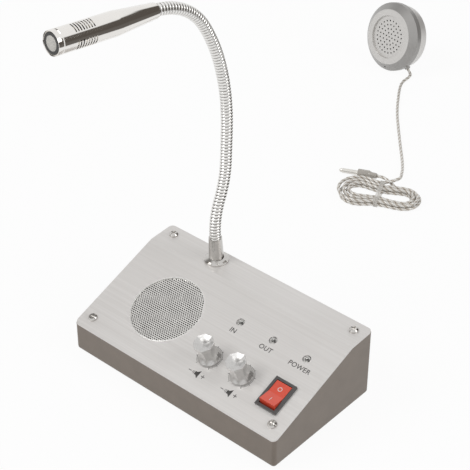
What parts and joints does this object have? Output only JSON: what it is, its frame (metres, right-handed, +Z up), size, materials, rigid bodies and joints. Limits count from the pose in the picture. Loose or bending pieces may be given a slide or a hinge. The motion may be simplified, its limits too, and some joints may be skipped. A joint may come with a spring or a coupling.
{
  "type": "teller window intercom",
  "caption": "Desk console with speaker, volume knobs, rocker switch and gooseneck microphone, and a small round outside unit on a hank of cord.",
  "frame": {"origin": "on the desk, under the middle of the console's case", "axes": "+X along the console to the right, +Y to its back, +Z up"},
  "size_m": [0.2573, 0.4759, 0.2475],
  "materials": {
    "case_paint": "painted",
    "panel": "brushed",
    "steel": "satin",
    "chrome": "polished",
    "mesh": "satin",
    "knob_metal": "satin",
    "board": "satin",
    "black_plastic": "matte",
    "dark_plastic": "satin",
    "rocker_red": "gloss",
    "lamp_clear": "gloss",
    "brass": "satin",
    "rubber": "matte",
    "paper": "matte",
    "foam": "matte",
    "ferrite": "matte",
    "unit_plastic": "satin",
    "cord_clear": "gloss",
    "tie_clear": "gloss",
    "nickel": "polished"
  },
  "bodies": {
    "console": {"base_case": "case_paint", "top_panel": "panel", "panel_screws": "chrome", "rubber_feet": "rubber", "foot_screws": "steel", "speaker_grille": "mesh", "speaker_gasket": "foam", "speaker_basket": "steel", "speaker_cone": "paper", "speaker_magnet": "ferrite", "speaker_clips": "steel", "speaker_clip_nuts": "steel", "potentiometers": "steel", "potentiometer_nuts": "steel", "indicator_lamps": "lamp_clear", "circuit_board": "board", "board_spacers": "brass", "board_screws": "steel", "switch_housing": "dark_plastic", "switch_terminals": "brass", "power_inlet": "black_plastic", "outside_unit_jack": "black_plastic", "jack_nut": "nickel", "neck_flange": "chrome", "neck_ferrule": "chrome", "neck_lock_nut": "steel", "unit_front_shell": "unit_plastic", "unit_grille": "mesh", "unit_driver_frame": "steel", "unit_driver_cone": "paper", "unit_magnet": "ferrite", "unit_mic_capsule": "steel", "unit_rear_housing": "unit_plastic", "unit_back_plate": "black_plastic", "unit_screws": "steel", "cord_grommet": "rubber", "cord_hank": "cord_clear", "cord_lead": "cord_clear", "cord_tail": "cord_clear", "hank_tie": "tie_clear", "plug_body": "black_plastic", "plug_pin": "nickel"},
    "knob_left": {"volume_knob_left": "knob_metal", "pot_shaft_left": "steel"},
    "knob_right": {"volume_knob_right": "knob_metal", "pot_shaft_right": "steel"},
    "rocker": {"switch_rocker": "rocker_red"},
    "neck_1": {"neck_link_1": "chrome"},
    "neck_2": {"neck_link_2": "chrome"},
    "neck_3": {"neck_link_3": "chrome"},
    "neck_4": {"neck_link_4": "chrome"},
    "neck_5": {"neck_link_5": "chrome"},
    "neck_6": {"neck_link_6": "chrome"},
    "neck_7": {"neck_link_7": "chrome"},
    "neck_8": {"neck_link_8": "chrome", "mic_barrel": "chrome", "mic_front_ring": "black_plastic", "mic_foam": "foam", "mic_capsule": "steel", "mic_capsule_holder": "rubber"}
  },
  "joints": [
    {"name": "volume_left_turn", "type": "hinge", "parent": "console", "child": "knob_left", "pos_m": [0.011, -0.0211, 0.03113], "axis": [0, -0.3525, 0.9358], "range_deg": [-85, 207]},
    {"name": "volume_right_turn", "type": "hinge", "parent": "console", "child": "knob_right", "pos_m": [0.0359, -0.0211, 0.03113], "axis": [0, -0.3525, 0.9358], "range_deg": [-85, 207]},
    {"name": "power_rocker_tilt", "type": "hinge", "parent": "console", "child": "rocker", "pos_m": [0.062, -0.02115, 0.03069], "axis": [1, 0, 0], "range_deg": [0, 20]},
    {"name": "neck_bend_1", "type": "hinge", "parent": "console", "child": "neck_1", "pos_m": [-0.0342, 0.03402, 0.06817], "axis": [0.9962, -0.0872, -0.005], "range_deg": [-15, 15]},
    {"name": "neck_bend_2", "type": "hinge", "parent": "neck_1", "child": "neck_2", "pos_m": [-0.03375, 0.03772, 0.09264], "axis": [0.0798, 0.9327, -0.3518], "range_deg": [-15, 15]},
    {"name": "neck_bend_3", "type": "hinge", "parent": "neck_2", "child": "neck_3", "pos_m": [-0.0332, 0.04266, 0.11696], "axis": [0.9962, -0.0872, -0.005], "range_deg": [-15, 15]},
    {"name": "neck_bend_4", "type": "hinge", "parent": "neck_3", "child": "neck_4", "pos_m": [-0.03301, 0.04334, 0.14188], "axis": [0.0871, 0.9961, -0.0122], "range_deg": [-15, 15]},
    {"name": "neck_bend_5", "type": "hinge", "parent": "neck_4", "child": "neck_5", "pos_m": [-0.03303, 0.04171, 0.16673], "axis": [0.9962, -0.0872, -0.005], "range_deg": [-15, 15]},
    {"name": "neck_bend_6", "type": "hinge", "parent": "neck_5", "child": "neck_6", "pos_m": [-0.0334, 0.03605, 0.19098], "axis": [0.0844, 0.9468, 0.3107], "range_deg": [-15, 15]},
    {"name": "neck_bend_7", "type": "hinge", "parent": "neck_6", "child": "neck_7", "pos_m": [-0.03418, 0.02582, 0.21364], "axis": [0.9962, -0.0872, -0.005], "range_deg": [-15, 15]},
    {"name": "neck_bend_8", "type": "hinge", "parent": "neck_7", "child": "neck_8", "pos_m": [-0.03567, 0.00787, 0.23038], "axis": [0.0434, 0.4439, 0.895], "range_deg": [-15, 15]}
  ]
}
